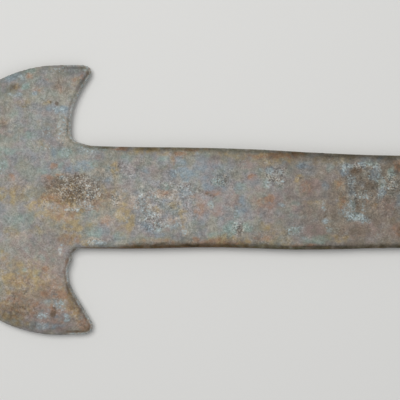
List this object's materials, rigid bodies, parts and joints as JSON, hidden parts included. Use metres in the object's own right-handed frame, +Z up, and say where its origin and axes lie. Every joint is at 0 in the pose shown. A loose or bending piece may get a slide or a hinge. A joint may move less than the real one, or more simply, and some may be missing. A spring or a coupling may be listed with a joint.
{
  "type": "copper axe head",
  "caption": "Flat copper axe head: a half-round blade with two horns swept back beside a long straight shank, lying on one face.",
  "frame": {"origin": "middle of the footprint, on the surface that the head lies on", "axes": "+X along the shank from the cutting edge to the butt, +Y across the blade, +Z up out of the face that shows"},
  "size_m": [0.2, 0.1, 0.006],
  "materials": {
    "patinated_copper": "dull, weathered and mottled grey-brown, with green, blue-white and ochre patches of corrosion"
  },
  "bodies": {
    "root": {"axe_head": "patinated_copper"}
  },
  "joints": []
}
